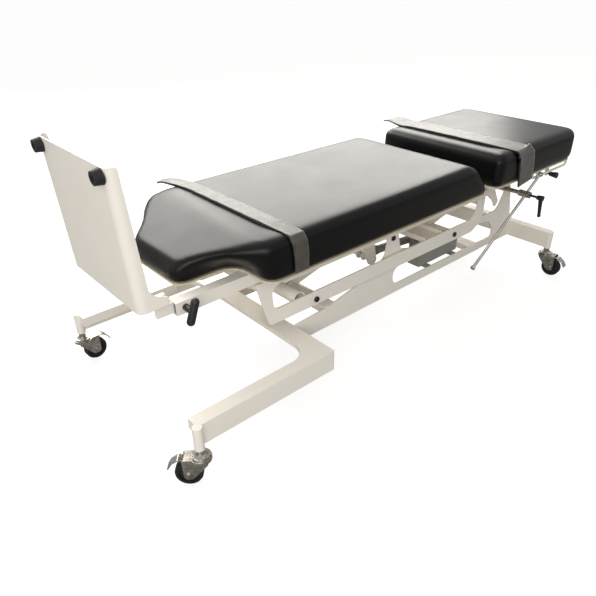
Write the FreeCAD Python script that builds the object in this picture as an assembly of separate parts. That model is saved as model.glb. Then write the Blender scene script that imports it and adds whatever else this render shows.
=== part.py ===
import FreeCAD, Part
import math
import os

# Height-adjustable tilt table with a foot board, a lifting head section and straps.
# Millimetres, +X to the head end, +Y to the far side, +Z up, floor at z = 0.
# While it is built, x = 0 lies midway between the caster posts and y = 0 on the mid-plane.
# The finished parts are moved so that the origin is the centre of the table's footprint.

V = FreeCAD.Vector

# Casters and posts
post_pitch_x = 1850.0
post_pitch_y = 765.0
post_radius = 14.5
post_top = 199.0
wheel_radius = 40.0
wheel_width = 28.0
caster_height = 122.0
caster_trail = 36.0
axle_radius = 5.0
king_pin_radius = 8.0
fork_sheet = 3.0
fork_gap = 0.4
running_gap = 0.05
soft_gap = 0.3
weld_gap = 0.05
bolt_clearance = 0.1
caster_headings = {"near_foot": 139.0, "far_foot": 3.0, "near_head": -85.0, "far_head": 85.0}

# Base frame
leg_width = 46.0
leg_height = 70.0
inner_lip_height = 34.0
cross_lip_height = 16.0
frame_sheet = 5.0
cross_head_face = -415.0
cross_width = 68.0
inner_corner_radius = 72.0
base_plate_inner = 184.0
plate_thickness = 6.0
base_bottom = 129.0
base_chord_height = 36.0
head_beam_width = 40.0
foot_bar_x = -245.0
foot_bar_width = 50.0
foot_bar_top = 210.0
foot_bar_height = 30.0
head_bar_x = 640.0
head_bar_width = 60.0
head_bar_height = 25.0

# Parallel lift linkage
pivot_spacing = 772.0
base_pivot_x = 68.5
base_pivot_z = 370.0
arm_run = 398.5
arm_drop = 94.0
pivot_tube_radius = 15.0
pivot_tube_bore = 6.0
arm_inner = 56.0
arm_thickness = 8.0
arm_width = 46.0
arm_eye_radius = 27.0
arm_boss_length = 26.0
lever_x = 44.0
lever_drop = 150.0
lever_tube_radius = 10.0
lift_travel = 60.0

# Lift frame
truss_inner = 198.0
truss_bottom = 256.0
truss_chord_top = 307.0
truss_top = 418.0
truss_foot_top_x = -576.0
truss_foot_bottom_x = -530.0
truss_head_x = 640.0
truss_head_top = 386.0
big_tube_x = -400.0
big_tube_z = 303.0
big_tube_radius = 24.0
cross_plate_x = 250.0
cross_plate_width = 110.0
cross_plate_bottom = 296.0
head_rest_height = 26.0
head_rest_width = 30.0
buffer_radius = 10.0
buffer_spacing = 240.0

# Tilt frame
hinge_x = -600.0
hinge_z = 440.0
hinge_radius = 12.0
hinge_lug_inner = 140.0
tilt_travel = 85.0
rail_outer = 198.0
rail_width = 36.0
rail_height = 40.0
rail_top = 462.0
rail_wall = 3.0
rail_foot_x = -842.0
rail_head_x = 470.0
strip_foot_x = -470.0
strip_bottom = 388.0
ear_low_z = 315.0
ear_low_x = 735.0
cross_bar_xs = (-330.0, -90.0, 165.0, 440.0)
cross_bar_width = 30.0
cross_bar_height = 26.0
head_tie_drop = 20.0
head_tie_height = 22.0
head_tie_x = 604.0
board_thickness = 6.0

# Head section
head_hinge_x = 530.0
head_hinge_z = 446.0
head_travel = 40.0
head_rail_inner = 100.0
head_rail_width = 26.0
head_rail_height = 30.0
head_rail_end_x = 1080.0
head_bar_foot_x = 640.0
stay_x = 795.0
stay_z = 385.0
stay_edge_inset = 4.0
stay_angle = 35.4
stay_reach = 113.0
stay_length = 524.0
stay_rod_radius = 6.0
stay_shaft_radius = 9.0
stay_eye_half = 6.4
stay_eye_radius = 11.0
stay_lug_sheet = 5.0
stay_bracket_ys = (-156.0, -96.0)
stay_bracket_sheet = 6.0
stay_block_radius = 14.0
stay_stud_radius = 5.0
stay_stud_release = 1.2
edge_rail_x = (857.0, 1150.0)
edge_rail_inset = 22.0
edge_rail_drop = 28.0
edge_rail_radius = 5.5
lock_knob_x = 1039.0
lock_knob_z = 412.0

# Upholstery
cushion_bottom = rail_top + board_thickness
cushion_thickness = 127.0
cushion_half_width = 304.0
cushion_edge_radius = 30.0
cushion_corner = 40.0
head_corner = 60.0
head_foot_corner = 40.0
tongue_corner = 36.0
notch_corner = 62.0
slant_start = 12.0
tongue_half_width = 133.0
foot_end_x = -798.0
shoulder_near_x = -600.0
shoulder_far_x = -650.0
tongue_top_z = 528.0
tongue_crease_x = -590.0
tongue_crease_radius = 200.0
gap_bottom_x = 500.0
gap_top_x = 396.0
head_foot_x = 533.0
head_end_x = 1180.0
board_inset = 6.0

# Straps
strap_thickness = 3.0
strap_far_drop = 60.0
body_strap_x = -500.0
body_strap_width = 58.0
head_strap_x = 712.0
head_strap_width = 118.0

# Foot board
panel_half_width = 208.0
panel_sheet = 4.0
panel_bottom_z = 471.0
panel_height = 394.0
panel_foot_x = -951.0
panel_lean = 3.2
flange_depth = 38.0
flange_top_depth = 29.0
toe_reach = 89.0
toe_height = 22.0
panel_bend = 24.0
bumper_spacing = 360.0
bumper_radius = 20.5
bumper_length = 22.0
slider_thickness = 12.0
slider_engagement = 205.0
slider_inset = 59.0
slider_head = 32.0
slider_clearance = 0.3
foot_travel = 120.0
clamp_inset = 28.0
clamp_screw_radius = 5.0
clamp_clearance = 0.4
clamp_boss_length = 38.0
clamp_bar_length = 82.0
clamp_bar_radius = 12.0
clamp_lean = 20.0

# Drive units and controls
lift_motor_x = 620.0
lift_motor_z = 178.0
tilt_motor_x = -385.0
tilt_motor_z = 362.0
tilt_rod_x = 130.0
tilt_rod_z = 430.0
drive_tube_radius = 17.0
drive_rod_radius = 9.0
motor_radius = 21.0
drive_eye_radius = 13.0
drive_eye_width = 20.0
drive_pin_radius = 6.0
drive_lug = 6.0
open_gap = 0.4
box_near_y = -152.0
box_length = 262.0
box_depth = 55.0
box_height = 84.0
box_x = 290.0

nodes = {}


def add(name, *shapes):
    nodes[name] = shapes[0] if len(shapes) == 1 else Part.makeCompound(list(shapes))


def fuse(*shapes):
    return shapes[0].multiFuse(list(shapes[1:])).removeSplitter()


def box(x0, x1, y0, y1, z0, z1):
    low = V(min(x0, x1), min(y0, y1), min(z0, z1))
    return Part.makeBox(abs(x1 - x0), abs(y1 - y0), abs(z1 - z0), low)


def rod(start, end, radius):
    run = end.sub(start)
    return Part.makeCylinder(radius, run.Length, start, run)


def rod_y(x, z, y0, y1, radius):
    return rod(V(x, min(y0, y1), z), V(x, max(y0, y1), z), radius)


def ring_y(x, z, y0, y1, radius, bore):
    return rod_y(x, z, y0, y1, radius).cut(rod_y(x, z, y0, y1, bore))


def outline(corners, place):
    """A closed wire through corners (u, v, radius), each rounded by an arc."""
    count = len(corners)
    edges = []
    ends = []
    for i in range(count):
        before = place(*corners[i - 1][:2])
        here = place(*corners[i][:2])
        after = place(*corners[(i + 1) % count][:2])
        radius = corners[i][2]
        into = before.sub(here).normalize()
        out = after.sub(here).normalize()
        if radius == 0:
            ends.append((here, None, here))
            continue
        half = into.getAngle(out) / 2
        reach = radius / math.tan(half)
        first = here.add(into.multiply(reach))
        last = here.add(out.multiply(reach))
        centre_way = first.add(last).multiply(0.5).sub(here).normalize()
        middle = here.add(centre_way.multiply(radius / math.sin(half) - radius))
        ends.append((first, middle, last))
    for i in range(count):
        first, middle, last = ends[i]
        following = ends[(i + 1) % count][0]
        if middle is not None:
            edges.append(Part.Arc(first, middle, last).toShape())
        if last.distanceToPoint(following) > 1e-6:
            edges.append(Part.LineSegment(last, following).toShape())
    return Part.Wire(edges)


def plate_y(corners, y, thickness):
    """A sheet with its outline in X and Z, from y to y + thickness."""
    wire = outline(corners, lambda u, v: V(u, y, v))
    return Part.Face(wire).extrude(V(0, thickness, 0))


def plate_z(corners, z, thickness):
    wire = outline(corners, lambda u, v: V(u, v, z))
    return Part.Face(wire).extrude(V(0, 0, thickness))


def mirrored(shape):
    return shape.mirror(V(0, 0, 0), V(0, 1, 0))


def turned(shape, centre, axis, degrees):
    copy = shape.copy()
    copy.rotate(centre, axis, degrees)
    return copy


def square_tube_y(x0, x1, z0, z1, half, wall):
    outer = box(x0, x1, -half, half, z0, z1)
    return outer.cut(box(x0 + wall, x1 - wall, -half, half, z0 + wall, z1 - wall))


def capsule_xz(ax, az, bx, bz, radius, y, thickness):
    """A link plate with round ends about two points."""
    run = V(bx - ax, 0, bz - az)
    side = V(-run.z, 0, run.x).normalize().multiply(radius)
    start = V(ax, y, az)
    end = V(bx, y, bz)
    corners = [start.add(side), end.add(side), end.sub(side), start.sub(side)]
    body = Part.Face(Part.makePolygon(corners + corners[:1])).extrude(V(0, thickness, 0))
    caps = [rod_y(x, z, y, y + thickness, radius) for x, z in ((ax, az), (bx, bz))]
    return fuse(body, *caps)


# Places that follow from the sizes above
post_bottom = caster_height
post_x = post_pitch_x / 2
post_y = post_pitch_y / 2
base_pivots = (base_pivot_x, base_pivot_x + pivot_spacing)
lift_pivot_z = base_pivot_z - arm_drop
lift_pivots = (base_pivots[0] - arm_run, base_pivots[1] - arm_run)
lever_pin = (base_pivot_x + lever_x, base_pivot_z - lever_drop)
base_outer = base_plate_inner + plate_thickness
truss_outer = truss_inner + plate_thickness
rail_inner = rail_outer - rail_width
rail_bottom = rail_top - rail_height
cross_foot_face = cross_head_face - cross_width
leg_inner_y = post_y - leg_width
cushion_top = cushion_bottom + cushion_thickness
slider_outer_y = rail_outer - rail_wall - 15.0
stay_y = stay_edge_inset - cushion_half_width
edge_rail_y = cushion_half_width - edge_rail_inset
sides = {"near": -1, "far": 1}


# Casters, each built trailing along +X and turned to its heading

def caster_wheel():
    half = wheel_width / 2
    hub_half = half + 3.2
    flat = 9.0
    shoulder = wheel_radius - 2.5
    rim = wheel_radius - 11.0
    web = half - 5.0
    hub = 13.0
    bore = axle_radius + running_gap
    right = [(bore, hub_half), (hub, hub_half), (hub, web), (rim, web), (rim, half), (shoulder, half),
             (wheel_radius, flat)]
    left = [(r, -y) for r, y in reversed(right)]
    points = [V(r, y, 0) for r, y in right + left]
    face = Part.Face(Part.makePolygon(points + points[:1]))
    wheel = face.revolve(V(0, 0, 0), V(0, 1, 0), 360)
    wheel.translate(V(caster_trail, 0, wheel_radius))
    return wheel


def caster_fork():
    """A pressed fork: a round top with a skirt, two cheeks and the axle bolt."""
    top = 96.0
    crown_radius = 31.0
    inside = wheel_width / 2 + 3.2 + fork_gap
    crown = Part.makeCylinder(crown_radius, fork_sheet, V(0, 0, top - fork_sheet))
    skirt = Part.makeCylinder(crown_radius, 10.0, V(0, 0, top - 10.0))
    skirt = skirt.cut(Part.makeCylinder(crown_radius - fork_sheet, 10.0, V(0, 0, top - 10.0)))
    skirt = skirt.cut(box(15, 40, -15, 15, top - 11, top))
    bridge = box(0, 46, -inside - fork_sheet, inside + fork_sheet, top - fork_sheet, top)
    corners = [(-22, top, 0), (52, top, 6), (50, 78, 10), (caster_trail + 13, wheel_radius - 13, 12),
               (caster_trail - 13, wheel_radius - 13, 12), (-22, 80, 8)]
    cheek = plate_y(corners, inside, fork_sheet)
    cheeks = [cheek, mirrored(cheek)]
    shell = fuse(crown, skirt, bridge, *cheeks)
    shell = shell.cut(Part.makeCylinder(king_pin_radius + running_gap, 20, V(0, 0, top - 15)))
    shell = shell.cut(rod_y(caster_trail, wheel_radius, -inside - 9, inside + 9, axle_radius))
    pin_hole = rod_y(32, 87, -inside - 9, inside + 9, 2.5)
    shell = shell.cut(pin_hole)
    reach = inside + fork_sheet
    axle = rod_y(caster_trail, wheel_radius, -reach - 2, reach + 2, axle_radius)
    heads = [rod_y(caster_trail, wheel_radius, reach, reach + 5, 9.0)]
    heads.append(rod_y(caster_trail, wheel_radius, -reach, -reach - 5, 8.0))
    pin = rod_y(32, 87, -reach - 1, reach + 1, 2.5)
    return Part.makeCompound([shell, fuse(axle, *heads), pin])


def caster_pedal():
    """The brake lever: a bent tread plate with two ears on the pin."""
    half = 13.0
    corners = [(26, 84.6, 0), (40, 84.6, 4), (62, 88, 6), (80, 76, 5), (92, 56, 0), (95, 58, 0), (84, 77, 5),
               (64, 91.6, 6), (40, 88.2, 4), (26, 88.2, 0)]
    tread = plate_y(corners, -half, 2 * half)
    hub = rod_y(32, 87, -half, half, 4.6)
    body = fuse(tread, hub)
    return body.cut(rod_y(32, 87, -half - 1, half + 1, 2.5 + running_gap))


def caster_stem():
    """King pin, upper race and lock nut below the post."""
    pin = Part.makeCylinder(king_pin_radius, 22, V(0, 0, 88))
    race = Part.makeCylinder(26, 4, V(0, 0, 96.5))
    cone = Part.makeCone(20, 12, 5, V(0, 0, 100.5))
    nut = Part.makeCylinder(12, post_bottom - 105.5, V(0, 0, 105.5))
    lower = Part.makeCylinder(14, 3.5, V(0, 0, 88.9))
    return fuse(pin, race, cone, nut, lower)


def make_casters():
    stems = []
    for name, heading in caster_headings.items():
        side, end = name.split("_")
        place = V(post_x if end == "head" else -post_x, sides[side] * post_y, 0)
        pieces = {"wheel": caster_wheel(), "fork": caster_fork(), "pedal": caster_pedal(), "stem": caster_stem()}
        for kind, shape in pieces.items():
            shape.rotate(V(0, 0, 0), V(0, 0, 1), heading)
            shape.translate(place)
            if kind == "stem":
                stems.append(shape)
            else:
                add("caster_%s_%s" % (kind, name), shape)
    add("caster_stems", *stems)


# Base

def make_posts():
    posts = []
    for x in (-post_x, post_x):
        for y in (-post_y, post_y):
            posts.append(Part.makeCylinder(post_radius, post_top - post_bottom, V(x, y, post_bottom)))
    add("caster_posts", *posts)


def foot_frame():
    """The U of folded sheet that the foot board swings into."""
    low = post_top - leg_height
    corners = [(-post_x, post_y, 0), (cross_head_face, post_y, 6), (cross_head_face, -post_y, 6),
               (-post_x, -post_y, 0), (-post_x, -leg_inner_y, 0),
               (cross_foot_face, -leg_inner_y, inner_corner_radius),
               (cross_foot_face, leg_inner_y, inner_corner_radius), (-post_x, leg_inner_y, 0)]
    lid = plate_z(corners, post_top - frame_sheet, frame_sheet)
    body = plate_z(corners, low, leg_height)
    sheet = frame_sheet
    hollow = [(-post_x - 1, post_y - sheet, 0), (cross_head_face - sheet, post_y - sheet, 2),
              (cross_head_face - sheet, -post_y + sheet, 2), (-post_x - 1, -post_y + sheet, 0),
              (-post_x - 1, -leg_inner_y - sheet, 0),
              (cross_foot_face + sheet, -leg_inner_y - sheet, inner_corner_radius + sheet),
              (cross_foot_face + sheet, leg_inner_y + sheet, inner_corner_radius + sheet),
              (-post_x - 1, leg_inner_y + sheet, 0)]
    body = body.cut(plate_z(hollow, low - 1, leg_height - sheet + 1))
    # The inner wall is only a lip: deeper along the legs than along the cross member
    corner_start = cross_foot_face - inner_corner_radius
    clear = leg_inner_y + sheet + 0.5
    leg_clear = box(-post_x - 1, corner_start, -clear, clear, low - 1, post_top - inner_lip_height)
    cross_clear = box(corner_start - 1, cross_foot_face + sheet + 0.5, -clear, clear, low - 1,
                      post_top - cross_lip_height)
    body = body.cut(leg_clear).cut(cross_clear)
    # End walls close the legs beside the posts
    for side in (-1, 1):
        wall = box(-post_x, -post_x + sheet, side * leg_inner_y, side * post_y,
                   post_top - inner_lip_height, post_top)
        body = body.fuse(wall)
    body = body.removeSplitter()
    for side in (-1, 1):
        body = body.cut(Part.makeCylinder(post_radius + weld_gap, leg_height, V(-post_x, side * post_y, low)))
    add("base_foot_frame", body)


def base_plate():
    """The laser-cut side plate with its pivot gusset, saddle and head horn."""
    x0 = cross_head_face
    x1 = post_x - head_beam_width / 2
    g, h = base_pivots
    z = base_pivot_z
    chord = 292.0
    corners = [(x0, base_bottom, 0), (x1, base_bottom, 0), (x1, post_top + 4, 20), (h + 26, z - 6, 14),
               (h + 12, z + 28, 14), (h - 14, z + 28, 14), (h - 24, z - 12, 60), (h - 64, z - 84, 45),
               (g + 120, chord, 60), (g + 46, z - 58, 40), (g + 26, z + 27, 24), (g - 26, z + 27, 24),
               (g - 38, z - 62, 40), (g - 132, z - 118, 60), (-262, post_top + 9, 60), (x0, post_top, 0)]
    plate = plate_y(corners, base_plate_inner, plate_thickness)
    chord_low = base_bottom + base_chord_height
    opening = [(84, chord_low, 34), (764, chord_low, 14), (760, 212, 24), (722, 248, 24), (650, 260, 40),
               (560, 240, 60), (84, 240, 34)]
    plate = plate.cut(plate_y(opening, base_plate_inner - 1, plate_thickness + 2))
    # A saddle in the upper chord clears the lift frame's pivot tube
    bx = lift_pivots[1]
    saddle = fuse(rod_y(bx, lift_pivot_z, base_plate_inner - 1, base_outer + 1, pivot_tube_radius + 4),
                  plate_y([(bx - 19, lift_pivot_z, 0), (bx + 19, lift_pivot_z, 0), (bx + 22, chord + 5, 0),
                           (bx - 38, chord + 5, 0)], base_plate_inner - 1, plate_thickness + 2))
    plate = plate.cut(saddle)
    for pivot in base_pivots:
        plate = plate.cut(rod_y(pivot, z, base_plate_inner - 1, base_outer + 1, pivot_tube_bore))
    return plate


def make_base():
    make_posts()
    foot_frame()
    plate = base_plate()
    add("base_side_plate_near", mirrored(plate))
    add("base_side_plate_far", plate)
    half = head_beam_width / 2
    beam_low = post_top - leg_height
    beam = square_tube_y(post_x - half, post_x + half, beam_low, post_top, post_y, 3.0)
    for y in (-post_y, post_y):
        beam = beam.cut(Part.makeCylinder(post_radius + weld_gap, leg_height + 2, V(post_x, y, beam_low - 1)))
    add("base_head_beam", beam)
    x0 = foot_bar_x - foot_bar_width / 2
    foot_bar = square_tube_y(x0, x0 + foot_bar_width, foot_bar_top - foot_bar_height, foot_bar_top,
                             base_plate_inner, 3.0)
    x1 = head_bar_x - head_bar_width / 2
    head_bar = square_tube_y(x1, x1 + head_bar_width, base_bottom + 4, base_bottom + 4 + head_bar_height,
                             base_plate_inner, 3.0)
    lug_low = base_bottom + 4 + head_bar_height
    inner = drive_eye_width / 2 + open_gap
    lugs = []
    for side in (-1, 1):
        corners = [(x1 - 8, lug_low, 0), (x1 + 40, lug_low, 0), (lift_motor_x + 14, lift_motor_z + 12, 10),
                   (lift_motor_x - 14, lift_motor_z + 12, 10)]
        start = inner if side > 0 else -inner - drive_lug
        lug = plate_y(corners, start, drive_lug)
        lugs.append(lug)
    pin = rod_y(lift_motor_x, lift_motor_z, -inner - drive_lug - 3, inner + drive_lug + 3, drive_pin_radius)
    add("base_cross_bars", foot_bar, fuse(head_bar, *lugs, pin))
    tubes = []
    for pivot in base_pivots:
        tubes.append(ring_y(pivot, base_pivot_z, -base_plate_inner, base_plate_inner, pivot_tube_radius,
                            pivot_tube_bore))
    add("base_pivot_tubes", *tubes)
    add("base_pivot_bolts", *pivot_bolts(base_pivots, base_pivot_z, base_plate_inner, base_outer, 5.5))


def pivot_bolts(places, z, inner, outer, head):
    """Capped bolts through both side plates into the ends of each pivot tube."""
    bolts = []
    for x in places:
        for side in (-1, 1):
            shank = rod_y(x, z, side * (inner - 40), side * outer, pivot_tube_bore - bolt_clearance)
            cap = rod_y(x, z, side * outer, side * (outer + head), 10.0)
            rim = [e for e in cap.Edges if abs(abs(e.CenterOfMass.y) - outer - head) < 0.01]
            bolts.append(fuse(shank, cap.makeFillet(2.0, rim[:1])))
    return bolts


# Lift linkage

def swing_arm(pivot, lever):
    """Two cut plates with eyes on the pivot tubes, tied by a spacer tube."""
    end_x = pivot - arm_run
    pieces = []
    for side in (-1, 1):
        y = arm_inner if side > 0 else -arm_inner - arm_thickness
        plate = capsule_xz(pivot, base_pivot_z, end_x, lift_pivot_z, arm_width / 2, y, arm_thickness)
        eyes = [rod_y(pivot, base_pivot_z, y, y + arm_thickness, arm_eye_radius),
                rod_y(end_x, lift_pivot_z, y, y + arm_thickness, arm_eye_radius)]
        boss_start = arm_inner if side > 0 else -arm_inner - arm_boss_length
        for x, z in ((pivot, base_pivot_z), (end_x, lift_pivot_z)):
            eyes.append(rod_y(x, z, boss_start, boss_start + arm_boss_length, pivot_tube_radius + 6))
        if lever:
            corners = [(pivot - 40, base_pivot_z - 8, 0), (pivot + 24, base_pivot_z + 4, 8),
                       (lever_pin[0] + 22, lever_pin[1] - 18, 18), (lever_pin[0] - 22, lever_pin[1] - 18, 18),
                       (pivot - 30, base_pivot_z - 60, 50), (pivot - 110, base_pivot_z - 30, 0)]
            eyes.append(plate_y(corners, y, arm_thickness))
        pieces.append(fuse(plate, *eyes))
    middle = 0.45
    tie_x = pivot - arm_run * middle
    tie_z = base_pivot_z - arm_drop * middle
    tie_y = arm_inner + arm_thickness
    # The spacer sits low, clear of the drive tube that runs between the plates
    pieces.append(rod_y(tie_x + 3, tie_z - 13, -tie_y, tie_y, 8.0))
    if lever:
        pieces.append(rod_y(lever_pin[0], lever_pin[1], -tie_y - 2, tie_y + 2, lever_tube_radius))
        inner = drive_eye_width / 2 + open_gap
        for side in (-1, 1):
            y = inner if side > 0 else -inner - drive_lug
            pieces.append(rod_y(lever_pin[0], lever_pin[1], y, y + drive_lug, lever_tube_radius + 8))
    arm = fuse(*pieces)
    if lever:
        slot = rod_y(lever_pin[0], lever_pin[1], -inner, inner, lever_tube_radius + 30)
        arm = arm.cut(slot)
    for x, z in ((pivot, base_pivot_z), (end_x, lift_pivot_z)):
        arm = arm.cut(rod_y(x, z, -120, 120, pivot_tube_radius + running_gap))
    return arm


def drive_eye(x, z):
    """A rod end that fills the space between two lugs."""
    half = drive_eye_width / 2
    return rod_y(x, z, -half, half, drive_eye_radius)


def drive_unit(base_x, base_z, end_x, end_z, motor_from, motor_to, roll):
    """Motor body with its outer tube, and the rod that slides in it."""
    run = V(end_x - base_x, 0, end_z - base_z)
    length = run.Length
    angle = math.degrees(math.atan2(run.z, run.x))
    tube_end = length - 70.0
    eye = ring_y(0, 0, -drive_eye_width / 2, drive_eye_width / 2, drive_eye_radius,
                 drive_pin_radius + running_gap)
    neck = box(drive_eye_radius - 2, 34, -8, 8, -8, 8)
    gear = box(30, 84, -27, 27, -20, 20)
    gear = gear.makeFillet(6, [e for e in gear.Edges if abs(e.Length - 54.0) < 0.01])
    motor_z = drive_tube_radius + 4 + motor_radius
    motor = rod(V(motor_from, 0, motor_z), V(motor_to, 0, motor_z), motor_radius)
    end_cap = rod(V(motor_to, 0, motor_z), V(motor_to + 8, 0, motor_z), motor_radius - 4)
    block = box(motor_from - 4, motor_from + 22, -22, 22, 0, motor_z)
    drive = fuse(gear, motor, end_cap, block)
    drive.rotate(V(0, 0, 0), V(1, 0, 0), roll)
    tube = rod(V(80, 0, 0), V(tube_end, 0, 0), drive_tube_radius)
    collar = rod(V(tube_end - 18, 0, 0), V(tube_end, 0, 0), drive_tube_radius + 3)
    housing = fuse(eye, neck, drive, tube, collar)
    housing = housing.cut(rod(V(96, 0, 0), V(tube_end + 1, 0, 0), drive_rod_radius + running_gap))
    piston = fuse(rod(V(100, 0, 0), V(length - drive_eye_radius + 2, 0, 0), drive_rod_radius),
                  drive_eye(length, 0))
    moved = []
    for shape in (housing, piston):
        shape.rotate(V(0, 0, 0), V(0, -1, 0), angle)
        shape.translate(V(base_x, 0, base_z))
        moved.append(shape)
    return moved


def make_linkage():
    add("foot_swing_arm", swing_arm(base_pivots[0], True))
    add("head_swing_arm", swing_arm(base_pivots[1], False))
    motor, piston = drive_unit(lift_motor_x, lift_motor_z, lever_pin[0], lever_pin[1], 88, 230, 90)
    add("lift_drive_motor", motor)
    add("lift_drive_rod", piston)


# Lift frame

def truss_plate():
    b1, b2 = lift_pivots
    top_tip = strip_foot_x - 2
    corners = [(truss_foot_top_x, truss_top, 8), (truss_foot_bottom_x, truss_bottom, 16),
               (b2 + 128, truss_bottom - 8, 60), (truss_head_x, 284, 60), (truss_head_x + 2, truss_head_top, 0),
               (588, truss_head_top, 0), (590, truss_chord_top, 45), (-510, truss_chord_top, 24),
               (-518, 386, 30), (top_tip, 396, 0), (top_tip, truss_top, 0)]
    plate = plate_y(corners, truss_inner, plate_thickness)
    for x in lift_pivots:
        plate = plate.cut(rod_y(x, lift_pivot_z, truss_inner - 1, truss_outer + 1, pivot_tube_bore))
    return plate


def make_lift_frame():
    plate = truss_plate()
    add("lift_side_plate_near", mirrored(plate))
    add("lift_side_plate_far", plate)
    tubes = []
    for x in lift_pivots:
        tubes.append(ring_y(x, lift_pivot_z, -truss_inner, truss_inner, pivot_tube_radius, pivot_tube_bore))
    add("lift_pivot_tubes", *tubes)
    add("lift_pivot_bolts", *pivot_bolts(lift_pivots, lift_pivot_z, truss_inner, truss_outer, 7.0))
    big = ring_y(big_tube_x, big_tube_z, -truss_inner, truss_inner, big_tube_radius, big_tube_radius - 3)
    inner = drive_eye_width / 2 + open_gap
    lugs = []
    for side in (-1, 1):
        y = inner if side > 0 else -inner - drive_lug
        corners = [(big_tube_x - 20, big_tube_z + 12, 0), (big_tube_x + 22, big_tube_z + 6, 0),
                   (tilt_motor_x + 15, tilt_motor_z + 13, 12), (tilt_motor_x - 15, tilt_motor_z + 13, 12)]
        lugs.append(plate_y(corners, y, drive_lug))
    pin = rod_y(tilt_motor_x, tilt_motor_z, -inner - drive_lug - 3, inner + drive_lug + 3, drive_pin_radius)
    hollow = rod_y(big_tube_x, big_tube_z, -truss_inner, truss_inner, big_tube_radius - 3)
    add("lift_cross_tube", fuse(big, *lugs, pin).cut(hollow))
    x0 = cross_plate_x
    x1 = x0 + cross_plate_width
    tray = [box(x0, x1, -truss_inner, truss_inner, cross_plate_bottom, cross_plate_bottom + 4)]
    tray.append(box(x0, x0 + 4, -truss_inner, truss_inner, cross_plate_bottom, cross_plate_bottom + 20))
    tray.append(box(x1 - 4, x1, -truss_inner, truss_inner, cross_plate_bottom, cross_plate_bottom + 20))
    tray = fuse(*tray)
    top = truss_head_top - 2
    bar = square_tube_y(head_tie_x, head_tie_x + head_rest_width, top - head_rest_height, top, truss_inner, 2.5)
    add("lift_cross_bars", tray, bar)
    pads = []
    for side in (-1, 1):
        centre = V(head_tie_x + head_rest_width / 2, side * buffer_spacing / 2, top)
        height = rail_bottom - head_tie_drop - soft_gap - top
        pads.append(Part.makeCylinder(buffer_radius, height, centre))
    add("tilt_rest_buffers", *pads)
    # Hinge lugs stand on their own cross tube between the side plates
    tube_x = truss_foot_top_x + 26
    tube_z = truss_top - 22
    hinge_parts = [rod_y(tube_x, tube_z, -truss_inner, truss_inner, pivot_tube_radius)]
    for side in (-1, 1):
        y = hinge_lug_inner if side > 0 else -hinge_lug_inner - 10.0
        hinge_parts.append(capsule_xz(tube_x, tube_z, hinge_x, hinge_z, 19.0, y, 10.0))
    hinge = fuse(*hinge_parts)
    hinge = hinge.cut(rod_y(hinge_x, hinge_z, -truss_inner, truss_inner, hinge_radius + running_gap))
    add("tilt_hinge_lugs", hinge)


# Tilt frame

def side_rail():
    y0, y1 = rail_inner, rail_outer
    outer = box(rail_foot_x, rail_head_x, y0, y1, rail_bottom, rail_top)
    inner = box(rail_foot_x - 1, rail_head_x + 1, y0 + rail_wall, y1 - rail_wall, rail_bottom + rail_wall,
                rail_top - rail_wall)
    rail = outer.cut(inner)
    hole_x = rail_foot_x + clamp_inset
    mid = (rail_bottom + rail_top) / 2
    return rail.cut(rod_y(hole_x, mid, y1 - rail_wall - 1, y1 + 1, clamp_screw_radius + clamp_clearance))


def tilt_strip():
    """The flat side plate under each rail, ending in a hanging ear past the head hinge."""
    corners = [(strip_foot_x, strip_bottom, 6), (655, strip_bottom, 40), (708, 350, 60),
               (ear_low_x - 8, ear_low_z, 8), (ear_low_x + 14, ear_low_z + 24, 12), (700, 416, 14),
               (rail_head_x + 20, rail_bottom, 30), (rail_head_x - 2, rail_bottom + 16, 6),
               (strip_foot_x, rail_bottom + 16, 6)]
    plate = plate_y(corners, rail_outer, plate_thickness)
    return plate.cut(rod_y(ear_low_x - 1, ear_low_z + 22, rail_outer - 1, rail_outer + 10, 4.5))


def make_tilt_frame():
    rail = side_rail()
    strip = tilt_strip()
    add("side_rails", mirrored(rail), rail)
    add("tilt_side_plates", mirrored(strip), strip)
    bars = []
    for x in cross_bar_xs:
        bars.append(square_tube_y(x, x + cross_bar_width, rail_top - cross_bar_height, rail_top, rail_inner, 2.5))
    tie_low = rail_bottom - head_tie_drop
    bars.append(square_tube_y(head_tie_x, head_tie_x + head_rest_width, tie_low, tie_low + head_tie_height,
                              rail_outer, 2.5))
    # Lugs for the tilt drive stand off the third cross bar
    inner = drive_eye_width / 2 + open_gap
    lugs = []
    bar_x = cross_bar_xs[2]
    for side in (-1, 1):
        y = inner if side > 0 else -inner - drive_lug
        corners = [(bar_x, rail_top, 0), (bar_x, rail_top - cross_bar_height, 0),
                   (tilt_rod_x - 14, tilt_rod_z - 14, 12), (tilt_rod_x - 14, tilt_rod_z + 14, 12),
                   (tilt_rod_x, rail_top, 0)]
        lugs.append(plate_y(corners, y, drive_lug))
        head = rod_y(tilt_rod_x, tilt_rod_z, side * (inner + drive_lug), side * (inner + drive_lug + 4), 9.0)
        lugs.append(head)
    tube = rod_y(hinge_x, hinge_z, -rail_inner, rail_inner, hinge_radius)
    add("tilt_cross_bars", tube, fuse(bars[2], *lugs), *[bars[i] for i in (0, 1, 3, 4)])
    liners = []
    for side in (-1, 1):
        y0 = slider_outer_y + slider_clearance
        liner = box(rail_foot_x + 2, rail_foot_x + 90, side * y0, side * (rail_outer - rail_wall),
                    rail_bottom + rail_wall, rail_top - rail_wall)
        hole = rod_y(rail_foot_x + clamp_inset, (rail_bottom + rail_top) / 2, side * (y0 - 1), side * rail_outer,
                     clamp_screw_radius + clamp_clearance)
        liners.append(liner.cut(hole))
    add("rail_liners", *liners)
    stay_parts()


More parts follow.
